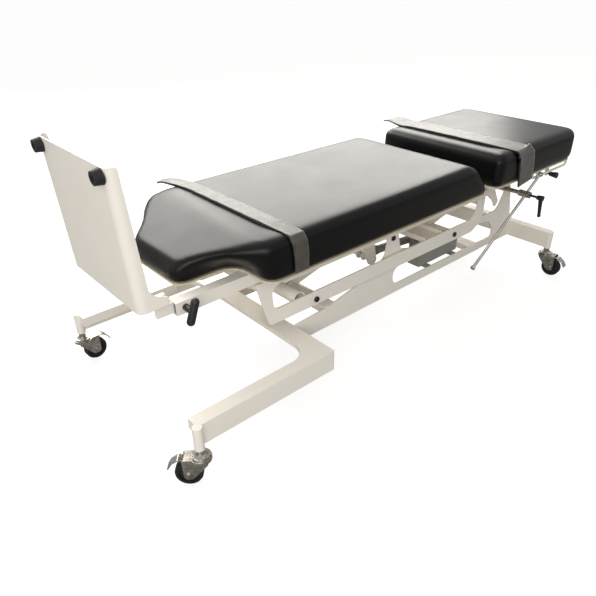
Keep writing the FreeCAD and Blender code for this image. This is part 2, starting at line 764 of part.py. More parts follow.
def stay_parts():
    """The cross shaft under the head section, held by two brackets from the last cross bar."""
    brackets = []
    x0 = cross_bar_xs[3] + 30
    for y in stay_bracket_ys:
        corners = [(x0, rail_bottom + 16, 0), (x0, rail_bottom - 22, 12), (stay_x - 60, stay_z - 2, 40),
                   (stay_x - 14, stay_z - 17, 12), (stay_x + 15, stay_z - 15, 12), (stay_x + 15, stay_z + 13, 12),
                   (x0 + 90, rail_bottom - 2, 40)]
        brackets.append(plate_y(corners, y, stay_bracket_sheet))
    far_end = stay_bracket_ys[1] + stay_bracket_sheet + 4.0
    near_end = stay_y + stay_rod_radius + 3.0
    shaft = rod_y(stay_x, stay_z, near_end, far_end, stay_shaft_radius)
    brackets = [b.cut(rod_y(stay_x, stay_z, -200, 200, stay_shaft_radius + weld_gap)) for b in brackets]
    tie = box(head_tie_x, head_tie_x + head_rest_width, -200, 200, rail_bottom - head_tie_drop,
              rail_bottom - head_tie_drop + head_tie_height)
    brackets = [b.cut(tie) for b in brackets]
    add("stay_shaft", shaft)
    add("stay_brackets", *brackets)


def clamp_handle(x, z, y_face, side):
    """A T-shaped knob: boss, brass collar stub and a capsule bar."""
    boss_out = y_face + side * clamp_boss_length
    boss = rod_y(x, z, y_face + side * clamp_clearance, boss_out, 10.0)
    tip = side * (slider_outer_y + slider_clearance)
    screw = rod_y(x, z, tip, y_face + side * 2.5, clamp_screw_radius)
    half = clamp_bar_length / 2 - clamp_bar_radius
    bar_y = boss_out
    ends = (V(x, bar_y, z - half), V(x, bar_y, z + half))
    balls = [Part.makeSphere(clamp_bar_radius, end) for end in ends]
    bar = fuse(rod(ends[0], ends[1], clamp_bar_radius), *balls)
    bar = turned(bar, V(x, bar_y, z), V(0, 1, 0), clamp_lean)
    return fuse(boss, screw, bar)


def make_handles():
    x = rail_foot_x + clamp_inset
    z = (rail_bottom + rail_top) / 2
    for name, side in sides.items():
        add("clamp_handle_%s" % name, clamp_handle(x, z, side * rail_outer, side))


# Upholstery and its boards

def body_outline(inset):
    """The plan of the long cushion, from the near corner of its tongue round to the far one."""
    foot = foot_end_x + inset
    wide = cushion_half_width - inset
    tongue = tongue_half_width - inset
    near = shoulder_near_x + inset
    far = shoulder_far_x + inset
    head = gap_bottom_x - inset
    return [(foot, -tongue, tongue_corner), (near, -tongue, notch_corner), (near, -wide, cushion_corner),
            (head, -wide, cushion_corner), (head, wide, cushion_corner), (far, wide, cushion_corner),
            (far, tongue, notch_corner), (foot, tongue, tongue_corner)]


def softened(shape):
    """Rounds the edges round the top faces of a cushion."""
    tops = []
    for face in shape.Faces:
        u0, u1, v0, v1 = face.ParameterRange
        if face.normalAt((u0 + u1) / 2, (v0 + v1) / 2).z > 0.9:
            tops.append(face)
    edges = []
    for i, top in enumerate(tops):
        others = [e for k, face in enumerate(tops) if k != i for e in face.Edges]
        edges += [e for e in top.Edges if not any(e.isSame(other) for other in others)]
    return shape.makeFillet(cushion_edge_radius, edges)


def body_cushion():
    """The pad: its tongue slopes down to the foot end and its head end slants back."""
    block = plate_z(body_outline(0.0), cushion_bottom, cushion_thickness)
    reach = cushion_half_width + 10
    profile = [(foot_end_x - 1, cushion_bottom - 1, 0), (foot_end_x - 1, tongue_top_z, 0),
               (tongue_crease_x, cushion_top, tongue_crease_radius), (gap_top_x, cushion_top, 0),
               (gap_bottom_x, cushion_bottom + slant_start, 0), (gap_bottom_x, cushion_bottom - 1, 0)]
    return softened(block.common(plate_y(profile, -reach, 2 * reach)))


def head_outline(inset):
    foot = head_foot_x + inset
    head = head_end_x - inset
    wide = cushion_half_width - inset
    return [(foot, -wide, head_foot_corner), (head, -wide, head_corner), (head, wide, head_corner),
            (foot, wide, head_foot_corner)]


def head_cushion():
    return softened(plate_z(head_outline(0.0), cushion_bottom, cushion_thickness))


def strap(x, width, near_low, far_low):
    """A flat band over the top, round the soft edges and down both sides of a cushion."""
    inner = cushion_half_width + soft_gap
    outer = inner + strap_thickness
    low = cushion_top + soft_gap
    top = low + strap_thickness
    inner_bend = cushion_edge_radius + soft_gap
    outer_bend = inner_bend + strap_thickness
    corners = [(-outer, near_low, 0), (-outer, top, outer_bend), (outer, top, outer_bend), (outer, far_low, 0),
               (inner, far_low, 0), (inner, low, inner_bend), (-inner, low, inner_bend), (-inner, near_low, 0)]
    wire = outline(corners, lambda u, v: V(x - width / 2, u, v))
    return Part.Face(wire).extrude(V(width, 0, 0))


def make_upholstery():
    board = plate_z(body_outline(board_inset), rail_top, board_thickness)
    add("body_board", board)
    add("body_cushion", body_cushion())
    add("body_strap", strap(body_strap_x, body_strap_width, rail_top + 6, cushion_top - strap_far_drop))


# Head section

def bent_rail(side):
    """A round rod below the board edge, turned up at both ends."""
    radius = edge_rail_radius
    y = side * edge_rail_y
    low = rail_top - edge_rail_drop
    x0, x1 = edge_rail_x
    bend = 16.0
    path = Part.Wire([
        Part.LineSegment(V(x0, y, rail_top), V(x0, y, low + bend)).toShape(),
        Part.Arc(V(x0, y, low + bend), V(x0 + bend * (1 - math.sqrt(0.5)), y, low + bend * (1 - math.sqrt(0.5))),
                 V(x0 + bend, y, low)).toShape(),
        Part.LineSegment(V(x0 + bend, y, low), V(x1 - bend, y, low)).toShape(),
        Part.Arc(V(x1 - bend, y, low), V(x1 - bend * (1 - math.sqrt(0.5)), y, low + bend * (1 - math.sqrt(0.5))),
                 V(x1, y, low + bend)).toShape(),
        Part.LineSegment(V(x1, y, low + bend), V(x1, y, rail_top)).toShape()])
    section = Part.Wire([Part.makeCircle(radius, V(x0, y, rail_top), V(0, 0, 1))])
    return path.makePipeShell([section], True, False)


def head_frame():
    """Two box rails and two cross bars under the head board, with hinge eyes."""
    inner = head_rail_inner
    outer = inner + head_rail_width
    top = rail_top
    low = rail_top - head_rail_height
    pieces = []
    for side in (-1, 1):
        pieces.append(box(head_foot_x, head_rail_end_x, side * inner, side * outer, low, top))
        y = inner if side > 0 else -outer
        pieces.append(capsule_xz(head_hinge_x, head_hinge_z, head_foot_x + 10, head_hinge_z, 14.0, y, head_rail_width))
    for x in (head_bar_foot_x, head_rail_end_x - 40):
        pieces.append(box(x, x + head_rail_height, -inner, inner, low, top))
    # The stay bracket reaches out to the near edge
    pieces.append(box(stay_top[0] - 16, stay_top[0] + 18, -inner, stay_y + stay_eye_half + open_gap + stay_lug_sheet,
                      top - 8, top))
    frame = fuse(*pieces)
    return frame.cut(rod_y(head_hinge_x, head_hinge_z, -200, 200, 8.0 + running_gap))


stay_way = (math.cos(math.radians(stay_angle)), math.sin(math.radians(stay_angle)))
stay_top = (stay_x + stay_reach * stay_way[0], stay_z + stay_reach * stay_way[1])
stay_low = (stay_top[0] - stay_length * stay_way[0], stay_top[1] - stay_length * stay_way[1])


def stay_lug():
    """The plate on the head section that the rod's eye stands beside."""
    y = stay_y + stay_eye_half + open_gap
    corners = [(stay_top[0] - 14, stay_top[1] - 13, 11), (stay_top[0] + 14, stay_top[1] - 13, 11),
               (stay_top[0] + 14, rail_top, 0), (stay_top[0] - 14, rail_top, 0)]
    return plate_y(corners, y, stay_lug_sheet)


def stay_rod():
    start = V(stay_low[0], stay_y, stay_low[1])
    end = V(stay_top[0], stay_y, stay_top[1])
    way = V(stay_way[0], 0, stay_way[1])
    shaft = rod(start, end.sub(way.multiply(6.0)), stay_rod_radius)
    eye = rod_y(stay_top[0], stay_top[1], stay_y - stay_eye_half, stay_y + stay_eye_half, stay_eye_radius)
    bolt = rod_y(stay_top[0], stay_top[1], stay_y - stay_eye_half - 5, stay_y - stay_eye_half, 7.0)
    way = V(stay_way[0], 0, stay_way[1])
    stop = rod(start, start.add(way.multiply(10.0)), 9.5)
    return fuse(shaft, eye, bolt, stop)


def stay_block():
    """The swivelling clamp: the shaft enters it from inside and the rod crosses it."""
    half = stay_rod_radius + 14.0
    outer_y = stay_y - half
    inner_y = stay_y + half + 10.0
    block = rod_y(stay_x, stay_z, outer_y, inner_y, stay_block_radius)
    block = block.cut(rod_y(stay_x, stay_z, stay_y + stay_rod_radius + 2.7, inner_y, stay_shaft_radius + running_gap))
    block = block.cut(rod_y(stay_x, stay_z, outer_y, stay_y, stay_stud_radius + running_gap))
    way = V(stay_way[0], 0, stay_way[1])
    centre = V(stay_x, stay_y, stay_z)
    reach = stay_block_radius + 5
    across = rod(centre.sub(V(way).multiply(reach)), centre.add(V(way).multiply(reach)), stay_rod_radius + running_gap)
    return block.cut(across)


def stay_lever():
    """The clamp lever: a stud that presses on the rod, a hub and a hanging arm."""
    tip = stay_y - stay_rod_radius - stay_stud_release
    hub_y = stay_y - 52.0
    arm_y = hub_y - 16.0
    stud = rod_y(stay_x, stay_z, tip, hub_y, stay_stud_radius)
    hub = Part.makeCone(9.0, 12.5, 26.0, V(stay_x, hub_y, stay_z), V(0, -1, 0))
    low = V(stay_x + 2, arm_y - 6, stay_z - 76)
    arm = Part.makeCone(9.0, 6.5, 74.0, V(stay_x, arm_y, stay_z), low.sub(V(stay_x, arm_y, stay_z)))
    return fuse(stud, hub, arm, Part.makeSphere(7.5, low))


def make_head_section():
    frame = head_frame().fuse(stay_lug()).removeSplitter()
    # A hanger below the board carries the lock knob
    hanger_y = -edge_rail_y + 24.0
    hanger = plate_y([(lock_knob_x - 16, rail_top, 0), (lock_knob_x - 12, lock_knob_z - 12, 10),
                      (lock_knob_x + 12, lock_knob_z - 12, 10), (lock_knob_x + 16, rail_top, 0)], hanger_y, 5.0)
    hanger = hanger.cut(rod_y(lock_knob_x, lock_knob_z, hanger_y - 1, hanger_y + 9, 4.0 + running_gap))
    add("head_frame", frame, hanger)
    pin_half = 140.0
    hinge = rod_y(head_hinge_x, head_hinge_z, -pin_half, pin_half, 8.0)
    carriers = []
    for side in (-1, 1):
        y = 128.0 if side > 0 else -136.0
        corners = [(cross_bar_xs[3] + 30, rail_top, 0), (cross_bar_xs[3] + 30, rail_bottom + 16, 0),
                   (head_hinge_x + 14, head_hinge_z - 14, 12), (head_hinge_x + 14, head_hinge_z + 14, 12)]
        carriers.append(plate_y(corners, y, 8.0))
    add("head_hinge_bracket", fuse(hinge, *carriers))
    add("head_board", plate_z(head_outline(board_inset), rail_top, board_thickness))
    add("head_cushion", head_cushion())
    add("head_strap", strap(head_strap_x, head_strap_width, rail_top - 14, cushion_top - strap_far_drop))
    add("head_side_rails", bent_rail(-1), bent_rail(1))
    knob_y = -edge_rail_y + 12.0
    knob = Part.makeCone(9.0, 14.0, 36.0, V(lock_knob_x, knob_y, lock_knob_z), V(0, -1, 0))
    stud = rod_y(lock_knob_x, lock_knob_z, knob_y, knob_y + 24.0, 4.0)
    add("head_lock_knob", fuse(knob, stud))


def make_stay():
    add("stay_block", stay_block())
    add("stay_rod", stay_rod())
    add("stay_lever", stay_lever())


# Foot board

def foot_panel():
    """A folded panel with a soft bend into two side flanges."""
    x = panel_foot_x
    z0 = panel_bottom_z
    z1 = z0 + panel_height
    half = panel_half_width
    sheet = panel_sheet
    depth = toe_reach + 2
    outer = [(x, -half, panel_bend), (x, half, panel_bend), (x + depth, half, 0), (x + depth, half - sheet, 0),
             (x + sheet, half - sheet, panel_bend - sheet), (x + sheet, -half + sheet, panel_bend - sheet),
             (x + depth, -half + sheet, 0), (x + depth, -half, 0)]
    wire = outline(outer, lambda u, v: V(u, v, z0))
    shell = Part.Face(wire).extrude(V(0, 0, panel_height))
    side = [(x - 2, z0, 0), (x + toe_reach, z0, 6), (x + toe_reach, z0 + toe_height, 8),
            (x + flange_depth, z0 + toe_height + 22, 40), (x + flange_top_depth, z1, 10), (x - 2, z1, 0)]
    cut = plate_y(side, -half - 1, 2 * half + 2)
    shell = shell.common(cut)
    return turned(shell, V(x, 0, z0), V(0, -1, 0), panel_lean)


def make_foot_board():
    add("foot_board_panel", foot_panel())
    sliders = []
    bumpers = []
    x0 = panel_foot_x + slider_inset
    x1 = rail_foot_x + slider_engagement
    for side in (-1, 1):
        low = rail_bottom + rail_wall + slider_clearance
        high = rail_top - rail_wall - slider_clearance
        y_out = side * slider_outer_y
        y_in = side * (slider_outer_y - slider_thickness)
        bar = box(x0, x1, y_in, y_out, low, high)
        head = box(x0, x0 + slider_head, y_in, y_out, low, panel_bottom_z + toe_height)
        spacer = box(x0 + 4, x0 + slider_head - 4, y_out, side * (panel_half_width - panel_sheet), panel_bottom_z + 7,
                     panel_bottom_z + toe_height - 4)
        sliders.append(fuse(bar, head, spacer))
        centre = V(panel_foot_x, side * bumper_spacing / 2, panel_bottom_z + panel_height - 21)
        bumper = Part.makeCone(bumper_radius, bumper_radius - 3, bumper_length, centre, V(-1, 0, 0))
        dish = Part.makeCylinder(8.0, 6.0, centre.sub(V(bumper_length, 0, 0)), V(1, 0, 0))
        bumper = bumper.cut(dish)
        bumpers.append(turned(bumper, V(panel_foot_x, 0, panel_bottom_z), V(0, -1, 0), panel_lean))
    add("foot_board_sliders", *sliders)
    add("foot_board_bumpers", *bumpers)


def make_control_box():
    y0 = box_near_y
    low = base_bottom + 27.0
    shell = box(box_x, box_x + box_length, y0, y0 + box_depth, low, low + box_height)
    shell = shell.makeFillet(7.0, [e for e in shell.Edges if abs(e.Length - box_depth) < 0.01])
    brackets = []
    for x in (box_x + 30, box_x + box_length - 60):
        brackets.append(box(x, x + 30, -base_plate_inner, y0 + box_depth - 10, low - 6, low))
    add("control_box", shell, *brackets)


def make_tilt_drive():
    motor, piston = drive_unit(tilt_motor_x, tilt_motor_z, tilt_rod_x, tilt_rod_z, 60, 150, 180)
    add("tilt_drive_motor", motor)
    add("tilt_drive_rod", piston)


def footprint_centre(shapes):
    whole = Part.makeCompound(shapes).optimalBoundingBox(False)
    return V((whole.XMin + whole.XMax) / 2, (whole.YMin + whole.YMax) / 2, 0)


make_casters()
make_base()
make_linkage()
make_lift_frame()
make_tilt_frame()
make_handles()
make_upholstery()
make_head_section()
make_stay()
make_foot_board()
make_control_box()
make_tilt_drive()

centre = footprint_centre(list(nodes.values()))
os.makedirs("parts", exist_ok=True)
for node, shape in nodes.items():
    shape.translate(V(-centre.x, -centre.y, 0))
    shape.exportStep("parts/%s.step" % node)
print("nodes", len(nodes), "moved by", round(-centre.x, 3), round(-centre.y, 3))
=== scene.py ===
import math

import bmesh
import bpy
import numpy as np
from mathutils import Matrix, Vector, noise

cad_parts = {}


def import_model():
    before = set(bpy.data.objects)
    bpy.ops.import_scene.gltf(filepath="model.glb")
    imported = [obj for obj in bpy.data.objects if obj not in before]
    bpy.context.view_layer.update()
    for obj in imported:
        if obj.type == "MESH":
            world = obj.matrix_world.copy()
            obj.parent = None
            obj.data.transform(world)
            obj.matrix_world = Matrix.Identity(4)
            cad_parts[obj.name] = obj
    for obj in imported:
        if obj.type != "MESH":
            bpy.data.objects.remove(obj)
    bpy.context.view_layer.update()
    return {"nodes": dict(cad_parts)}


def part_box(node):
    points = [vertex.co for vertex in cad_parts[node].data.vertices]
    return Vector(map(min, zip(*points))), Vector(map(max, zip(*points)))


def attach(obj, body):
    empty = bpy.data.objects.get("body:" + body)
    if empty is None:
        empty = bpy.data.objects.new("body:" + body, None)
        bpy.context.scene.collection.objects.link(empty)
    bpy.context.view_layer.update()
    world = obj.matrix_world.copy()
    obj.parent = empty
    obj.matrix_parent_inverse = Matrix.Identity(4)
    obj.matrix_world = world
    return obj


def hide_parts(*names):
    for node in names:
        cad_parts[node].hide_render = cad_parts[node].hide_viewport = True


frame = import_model()

# Lengths below are the drawing's millimetres; at() gives the frame's metres.
# The drawing's x = 0 lies midway between the caster posts.
head_beam_end = 0.945
shift_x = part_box("base_head_beam")[1][0] - head_beam_end


def at(x, y, z):
    return Vector((x / 1000 + shift_x, y / 1000, z / 1000))


# Materials

def linear(value):
    if value <= 10:
        return value / 255 / 12.92
    return ((value / 255 + 0.055) / 1.055) ** 2.4


def colour(r, g, b):
    """A linear colour from one given in 0 to 255."""
    return (linear(r), linear(g), linear(b), 1)


class Surface:
    """A procedural material put together from a few kinds of detail."""

    def __init__(self, name, base, roughness, **sockets):
        self.material = bpy.data.materials.new(name)
        self.material.use_nodes = True
        tree = self.material.node_tree
        self.nodes, self.links = tree.nodes, tree.links
        self.shader = self.nodes["Principled BSDF"]
        self.shader.inputs["Base Color"].default_value = base
        self.shader.inputs["Roughness"].default_value = roughness
        for socket, value in sockets.items():
            self.shader.inputs[socket.replace("_", " ")].default_value = value
        self.place = self.nodes.new("ShaderNodeTexCoord").outputs["Object"]
        self.base, self.roughness = base, roughness
        self.normal = None

    def node(self, kind, **inputs):
        made = self.nodes.new(kind)
        for key, value in inputs.items():
            socket = made.inputs[key.replace("_", " ")]
            if hasattr(value, "is_output"):
                self.links.new(value, socket)
            else:
                socket.default_value = value
        return made

    def noise(self, scale, detail=3.0, stretch=None):
        place = self.place
        if stretch:
            place = self.node("ShaderNodeMapping", Vector=place, Scale=stretch).outputs["Vector"]
        return self.node("ShaderNodeTexNoise", Vector=place, Scale=scale, Detail=detail).outputs["Fac"]

    def spread(self, value, low, high, to_low, to_high):
        """A value's range low to high, stretched to another range."""
        made = self.node("ShaderNodeMapRange", Value=value, From_Min=low, From_Max=high, To_Min=to_low,
                         To_Max=to_high)
        return made.outputs["Result"]

    def blend(self, factor, first, second):
        made = self.nodes.new("ShaderNodeMix")
        made.data_type = "RGBA"
        self.links.new(factor, made.inputs[0])
        for socket, value in ((made.inputs[6], first), (made.inputs[7], second)):
            if hasattr(value, "is_output"):
                self.links.new(value, socket)
            else:
                socket.default_value = value
        return made.outputs[2]

    def mottle(self, scale, other, low=0.35, high=0.65, stretch=None):
        """Soft patches of a second colour."""
        factor = self.spread(self.noise(scale, stretch=stretch), low, high, 0, 1)
        self.base = self.blend(factor, self.base, other)
        self.links.new(self.base, self.shader.inputs["Base Color"])
        return self

    def worn(self, scale, amount, stretch=None):
        """Uneven gloss."""
        value = self.spread(self.noise(scale, 4.0, stretch), 0.3, 0.7, self.roughness - amount,
                            self.roughness + amount)
        self.links.new(value, self.shader.inputs["Roughness"])
        return self

    def bump(self, height, strength, depth):
        made = self.node("ShaderNodeBump", Height=height, Strength=strength, Distance=depth)
        if self.normal is not None:
            self.links.new(self.normal, made.inputs["Normal"])
        self.normal = made.outputs["Normal"]
        self.links.new(self.normal, self.shader.inputs["Normal"])
        return self

    def grain(self, scale, strength, depth, stretch=None):
        return self.bump(self.noise(scale, 2.0, stretch), strength, depth)

    def cells(self, scale, strength, depth):
        """The pebbles of a leather grain."""
        value = self.node("ShaderNodeTexVoronoi", Vector=self.place, Scale=scale).outputs["Distance"]
        return self.bump(value, strength, depth)

    def soft_edges(self, radius):
        """Edges catch the light as if they had a small radius."""
        made = self.node("ShaderNodeBevel", Radius=radius)
        made.samples = 4
        self.normal = made.outputs["Normal"]
        self.links.new(self.normal, self.shader.inputs["Normal"])
        return self


def powder_coat():
    return (Surface("powder_coat", colour(243, 238, 228), 0.42, Specular_IOR_Level=0.45)
            .soft_edges(0.0011).mottle(5, colour(240, 234, 223)).worn(30, 0.05)
            .grain(900, 0.12, 0.0004))


def black_vinyl():
    return (Surface("black_vinyl", colour(9, 9, 9), 0.33, Specular_IOR_Level=0.22)
            .mottle(3.5, colour(14, 13, 13)).worn(9, 0.02)
            .cells(1300, 0.10, 0.0003).grain(420, 0.10, 0.0003).grain(18, 0.06, 0.0012))


def webbing_band():
    made = Surface("webbing_band", colour(64, 60, 54), 0.4, Sheen_Weight=0.3, Sheen_Roughness=0.4)
    place = made.nodes.new("ShaderNodeTexCoord").outputs["UV"]
    warp = made.node("ShaderNodeTexWave", Vector=place, Scale=22.0)
    warp.bands_direction = "X"
    weft = made.node("ShaderNodeTexWave", Vector=place, Scale=30.0)
    weft.bands_direction = "Y"
    made.mottle(40, colour(78, 73, 66), stretch=(1, 0.25, 1)).worn(60, 0.06)
    made.bump(warp.outputs["Fac"], 0.22, 0.0003)
    made.bump(weft.outputs["Fac"], 0.15, 0.0003)
    return made.grain(700, 0.2, 0.0003)


# Near black: partly the strap's black underside and partly painted shadow, seen where the band's lifted
# foot-side edge shows this layer beneath it
def webbing_under_and_shade():
    return (Surface("webbing_under_and_shade", colour(20, 19, 19), 0.7, Sheen_Weight=0.2)
            .mottle(60, colour(30, 28, 27)).grain(900, 0.3, 0.0004))


def plywood():
    made = Surface("plywood", colour(214, 204, 184), 0.5)
    made.mottle(18, colour(196, 183, 158), stretch=(0.3, 3, 1))
    return made.grain(160, 0.2, 0.0005, stretch=(0.2, 4, 1))


def zinc():
    return (Surface("zinc", colour(196, 194, 188), 0.3, Metallic=1.0)
            .soft_edges(0.0007).mottle(70, colour(158, 152, 142)).worn(90, 0.09)
            .grain(500, 0.10, 0.0003))


def chrome():
    return (Surface("chrome", colour(214, 213, 210), 0.12, Metallic=1.0)
            .mottle(20, colour(196, 194, 190)).worn(40, 0.04).grain(900, 0.03, 0.0002))


def black_rubber():
    return (Surface("black_rubber", colour(26, 26, 27), 0.62, Specular_IOR_Level=0.35)
            .soft_edges(0.001).mottle(60, colour(38, 37, 37)).worn(60, 0.07)
            .grain(700, 0.2, 0.0004))


def black_plastic():
    return (Surface("black_plastic", colour(20, 20, 21), 0.4)
            .soft_edges(0.0009).mottle(50, colour(28, 28, 29)).worn(80, 0.05)
            .grain(1200, 0.14, 0.0003))


def grey_plastic():
    return (Surface("grey_plastic", colour(150, 149, 143), 0.48)
            .soft_edges(0.0012).mottle(9, colour(140, 139, 132)).worn(40, 0.05)
            .grain(800, 0.14, 0.0003))


def blue_plastic():
    return (Surface("blue_plastic", colour(120, 136, 156), 0.5)
            .mottle(30, colour(108, 122, 142)).worn(50, 0.05).grain(700, 0.12, 0.0003))


makers = (powder_coat, black_vinyl, webbing_band, webbing_under_and_shade, plywood, zinc, chrome, black_rubber,
          black_plastic, grey_plastic, blue_plastic)
finish = {maker.__name__: maker().material for maker in makers}
# The record has one slot for both layers of a strap
finish["webbing"] = finish["webbing_band"]

for node in frame["nodes"].values():
    for place in node.material_slots:
        place.material = finish[place.material.name.split(".")[0]]


# Mesh helpers

def shade_smooth(mesh):
    mesh.polygons.foreach_set("use_smooth", [True] * len(mesh.polygons))


def piece(name, points, faces, material, body):
    mesh = bpy.data.meshes.new(name)
    mesh.from_pydata([tuple(p) for p in points], [], [tuple(int(i) for i in f) for f in faces])
    mesh.update()
    shade_smooth(mesh)
    mesh.materials.append(finish[material])
    made = bpy.data.objects.new(name, mesh)
    bpy.context.scene.collection.objects.link(made)
    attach(made, body)
    return made


def rounded_outline(corners, step=4.0):
    """Points along a closed outline whose corners (x, y, radius) are rounded by arcs."""
    points = []
    count = len(corners)
    for i, (x, y, radius) in enumerate(corners):
        here = Vector((x, y))
        before = (Vector(corners[i - 1][:2]) - here).normalized()
        after = (Vector(corners[(i + 1) % count][:2]) - here).normalized()
        half = before.angle(after) / 2
        centre = here + (before + after).normalized() * (radius / math.sin(half))
        first = here + before * (radius / math.tan(half))
        last = here + after * (radius / math.tan(half))
        a0 = math.atan2(*(first - centre).yx)
        sweep = math.remainder(math.atan2(*(last - centre).yx) - a0, math.tau)
        parts = max(2, round(abs(sweep) * radius / step))
        for k in range(parts + 1):
            a = a0 + sweep * k / parts
            points.append((centre.x + radius * math.cos(a), centre.y + radius * math.sin(a)))
    return np.array(points)


def plan_distance(x, y, line):
    """Signed distance from grid points to a closed line, negative inside."""
    px, py = x.ravel()[:, None], y.ravel()[:, None]
    a, b = line, np.roll(line, -1, axis=0)
    run = b - a
    keep = (run ** 2).sum(1) > 1e-9
    a, b, run = a[keep], b[keep], run[keep]
    t = ((px - a[:, 0]) * run[:, 0] + (py - a[:, 1]) * run[:, 1]) / (run ** 2).sum(1)
    t = np.clip(t, 0, 1)
    away = np.hypot(px - a[:, 0] - t * run[:, 0], py - a[:, 1] - t * run[:, 1]).min(1)
    spans = (a[:, 1] > py) != (b[:, 1] > py)
    rise = np.where(run[:, 1] == 0, 1e-9, run[:, 1])
    crossing = spans & (px < a[:, 0] + (py - a[:, 1]) * run[:, 0] / rise)
    inside = crossing.sum(1) % 2 == 1
    return np.where(inside, -away, away).reshape(x.shape)


def rounded_meet(a, b, radius):
    """Two fields joined at a rounded edge."""
    u, v = np.maximum(a + radius, 0), np.maximum(b + radius, 0)
    return np.minimum(np.maximum(a + radius, b + radius), 0) + np.hypot(u, v) - radius


def surface_net(field, low, step):
    """Quads where a field on a grid changes sign, negative inside."""
    cells = tuple(n - 1 for n in field.shape)
    inside = field < 0
    total = np.zeros(cells + (3,))
    count = np.zeros(cells)
    for axis in range(3):
        u, v = [a for a in range(3) if a != axis]
        for du in (0, 1):
            for dv in (0, 1):
                start = [slice(0, n) for n in cells]
                start[u] = slice(du, du + cells[u])
                start[v] = slice(dv, dv + cells[v])
                end = list(start)
                end[axis] = slice(1, 1 + cells[axis])
                a, b = field[tuple(start)], field[tuple(end)]
                cross = (a < 0) != (b < 0)
                total[..., axis] += np.where(cross, a / np.where(cross, a - b, 1), 0)
                total[..., u] += du * cross
                total[..., v] += dv * cross
                count += cross
    used = count > 0
    index = np.full(cells, -1)
    index[used] = np.arange(used.sum())
    points = low + step * (np.argwhere(used) + total[used] / count[used][:, None])
    faces = []
    for axis, (u, v) in enumerate(((1, 2), (2, 0), (0, 1))):
        one = [slice(None)] * 3
        two = [slice(None)] * 3
        one[axis], two[axis] = slice(0, -1), slice(1, None)
        change = inside[tuple(one)] != inside[tuple(two)]
        at_edge = np.argwhere(change)
        at_edge = at_edge[(at_edge[:, u] > 0) & (at_edge[:, v] > 0)]
        at_edge = at_edge[(at_edge[:, u] < cells[u]) & (at_edge[:, v] < cells[v])]
        eu, ev = np.eye(3, dtype=int)[u], np.eye(3, dtype=int)[v]
        quads = np.array([index[tuple((at_edge + d).T)] for d in (-eu - ev, -ev, 0 * eu, -eu)]).T
        outward = inside[tuple(at_edge.T)]
        quads[~outward] = quads[~outward][:, ::-1]
        faces.append(quads)
    return points, np.concatenate(faces)


# Cushions

cushion_low, cushion_high = 468.6, 595.0
half_width = 304.0
crown_edge, underside_edge = 30.0, 13.0
# The top is higher by crown_rise in the middle than at its edge, and levels off over crown_reach
crown_top, crown_rise, crown_reach = 2.0, 3.0, 30.0
# Over the notches the cover leaves the board's outline from bridge_start up, within bridge_height
bridge_start, bridge_height = 8.0, 96.0
# Near the board the cover pulls the sides in
pull_depth, pull_height = 3.5, 46.0
slope_crease = 14.0
smoothing_passes = 3


def soft_crease(a, b, width):
    """The larger of two fields, with the crease between them eased over a width."""
    near = np.maximum(width - np.abs(a - b), 0) / width
    return np.maximum(a, b) + near ** 2 * width / 4


def cushion_field(x, y, z, corners, slant, slope, end_edge, bridge):
    """Signed distance of a firm pad: a crowned top, round shoulders and a tucked underside.

    slant is the line of the end face seen from the side, slope that of the tongue's top, and
    bridge the upper outline where the cover spans the notches between tongue and shoulders.
    """
    plan = plan_distance(x[:, :, 0], y[:, :, 0], rounded_outline(corners))[:, :, None]
    if bridge:
        high = plan_distance(x[:, :, 0], y[:, :, 0], rounded_outline(bridge))[:, :, None]
        t = np.clip((z - cushion_low - bridge_start) / bridge_height, 0, 1)
        plan = plan + (high - plan) * t * t * (3 - 2 * t)
    depth = np.maximum(-plan, 0)
    top = z - (cushion_high + crown_top - crown_rise * np.exp(-(depth / crown_reach) ** 2))
    if slope:
        (ax, az), (bx, bz) = slope
        tilted = ((z - az) * (bx - ax) - (x - ax) * (bz - az)) / math.hypot(bx - ax, bz - az)
        top = soft_crease(top, tilted, slope_crease)
    under = cushion_low - z
    side = plan + pull_depth * np.clip((cushion_low + pull_height - z) / pull_height, 0, 1) ** 2
    (sx, sz), (tx, tz) = slant
    run = math.hypot(tx - sx, tz - sz)
    # The body pad's end faces the head and the head pad's end the foot
    way = 1 if tx < sx else -1
    face = way * ((x - sx) * (tz - sz) - (z - sz) * (tx - sx)) / run
    pad = rounded_meet(side, top, crown_edge)
    pad = rounded_meet(pad, face, end_edge)
    return rounded_meet(pad, under, underside_edge)


def gathers(co, normal, corner):
    """Shallow folds where the cover is drawn round a shoulder corner, in metres."""
    reach, top, fold_depth, folds, lean = 0.055, 0.1, 0.0022, 17, 2.5
    place = at(corner[0], corner[1], cushion_low)
    dx, dy = co.x - place.x, co.y - place.y
    away = math.hypot(dx, dy)
    height = (co.z - place.z) / top
    share = math.exp(-(away / reach) ** 2) * max(0.0, 1 - height) * (1 - abs(normal.z))
    return fold_depth * share * math.sin(math.atan2(dy, dx) * folds + lean * height)


